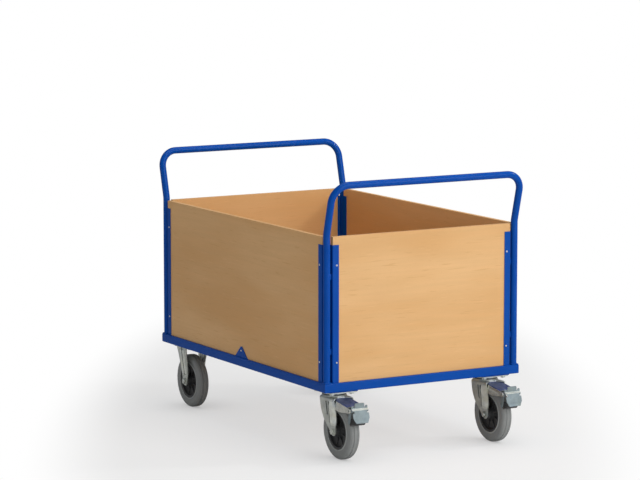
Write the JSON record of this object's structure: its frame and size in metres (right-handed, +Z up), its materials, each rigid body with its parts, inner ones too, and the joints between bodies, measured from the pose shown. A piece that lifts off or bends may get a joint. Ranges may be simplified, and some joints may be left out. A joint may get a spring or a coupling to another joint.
{
  "type": "four-wall platform trolley",
  "caption": "Platform trolley with a tubular steel frame, board walls on all four sides, bent tube push bars at both ends, braked swivel castors and fixed castors.",
  "frame": {"origin": "on the floor under the middle of the whole trolley's box, pedals and push bars included; the platform's own middle is 33.6 mm towards the rear of it", "axes": "+X across to the trolley's right side, +Y from the end with the swivel castors to the end with the fixed castors, +Z up"},
  "size_m": [0.8, 1.3932, 0.9795],
  "materials": {
    "blue_frame": "satin powder coat",
    "beech_board": "beech-faced board, matt lacquer",
    "zinc_steel": "zinc-plated pressed steel",
    "black_plastic": "moulded black plastic",
    "grey_tyre": "solid grey rubber"
  },
  "bodies": {
    "chassis": {"front_rail": "blue_frame", "rear_rail": "blue_frame", "left_rail": "blue_frame", "right_rail": "blue_frame", "deck_bearers": "blue_frame", "deck_board": "beech_board", "deck_screws": "zinc_steel", "castor_mount_plates": "blue_frame", "front_hoop": "blue_frame", "rear_hoop": "blue_frame", "hoop_foot_plates": "blue_frame", "end_channels": "blue_frame", "side_channels": "blue_frame", "channel_ties": "blue_frame", "front_panel": "beech_board", "rear_panel": "beech_board", "left_panel": "beech_board", "right_panel": "beech_board", "side_brackets": "blue_frame", "panel_screws": "zinc_steel", "castor_bolts": "zinc_steel", "swivel_plates": "zinc_steel", "swivel_seals": "black_plastic", "swivel_balls": "zinc_steel", "kingpins": "zinc_steel", "kingpin_nuts": "zinc_steel", "fixed_castor_brackets": "zinc_steel", "rear_axle_bolts": "zinc_steel", "rear_axle_nuts": "zinc_steel", "rear_axle_sleeves": "zinc_steel"},
    "left_castor": {"left_fork": "zinc_steel", "left_brake_bracket": "zinc_steel", "left_pedal_pin": "zinc_steel", "left_axle_bolt": "zinc_steel", "left_axle_nut": "zinc_steel", "left_axle_sleeve": "zinc_steel"},
    "left_brake": {"left_brake_pedal": "zinc_steel", "left_brake_pad": "black_plastic"},
    "right_castor": {"right_fork": "zinc_steel", "right_brake_bracket": "zinc_steel", "right_pedal_pin": "zinc_steel", "right_axle_bolt": "zinc_steel", "right_axle_nut": "zinc_steel", "right_axle_sleeve": "zinc_steel"},
    "right_brake": {"right_brake_pedal": "zinc_steel", "right_brake_pad": "black_plastic"},
    "front_left_wheel": {"front_left_rim": "black_plastic", "front_left_tyre": "grey_tyre", "front_left_bearing": "zinc_steel"},
    "front_right_wheel": {"front_right_rim": "black_plastic", "front_right_tyre": "grey_tyre", "front_right_bearing": "zinc_steel"},
    "rear_left_wheel": {"rear_left_rim": "black_plastic", "rear_left_tyre": "grey_tyre", "rear_left_bearing": "zinc_steel"},
    "rear_right_wheel": {"rear_right_rim": "black_plastic", "rear_right_tyre": "grey_tyre", "rear_right_bearing": "zinc_steel"}
  },
  "joints": [
    {"name": "left_swivel", "type": "hinge", "parent": "chassis", "child": "left_castor", "pos_m": [-0.314, -0.50141, 0.22], "axis": [0, 0, 1], "continuous": true},
    {"name": "left_brake_press", "type": "hinge", "parent": "left_castor", "child": "left_brake", "pos_m": [-0.314, -0.66341, 0.191], "axis": [1, 0, 0], "range_deg": [0, 18]},
    {"name": "front_left_roll", "type": "hinge", "parent": "left_castor", "child": "front_left_wheel", "pos_m": [-0.314, -0.55191, 0.1], "axis": [1, 0, 0], "continuous": true},
    {"name": "right_swivel", "type": "hinge", "parent": "chassis", "child": "right_castor", "pos_m": [0.314, -0.50141, 0.22], "axis": [0, 0, 1], "continuous": true},
    {"name": "right_brake_press", "type": "hinge", "parent": "right_castor", "child": "right_brake", "pos_m": [0.314, -0.66341, 0.191], "axis": [1, 0, 0], "range_deg": [0, 18]},
    {"name": "front_right_roll", "type": "hinge", "parent": "right_castor", "child": "front_right_wheel", "pos_m": [0.314, -0.55191, 0.1], "axis": [1, 0, 0], "continuous": true},
    {"name": "rear_left_roll", "type": "hinge", "parent": "chassis", "child": "rear_left_wheel", "pos_m": [-0.314, 0.56859, 0.1], "axis": [1, 0, 0], "continuous": true},
    {"name": "rear_right_roll", "type": "hinge", "parent": "chassis", "child": "rear_right_wheel", "pos_m": [0.314, 0.56859, 0.1], "axis": [1, 0, 0], "continuous": true}
  ]
}
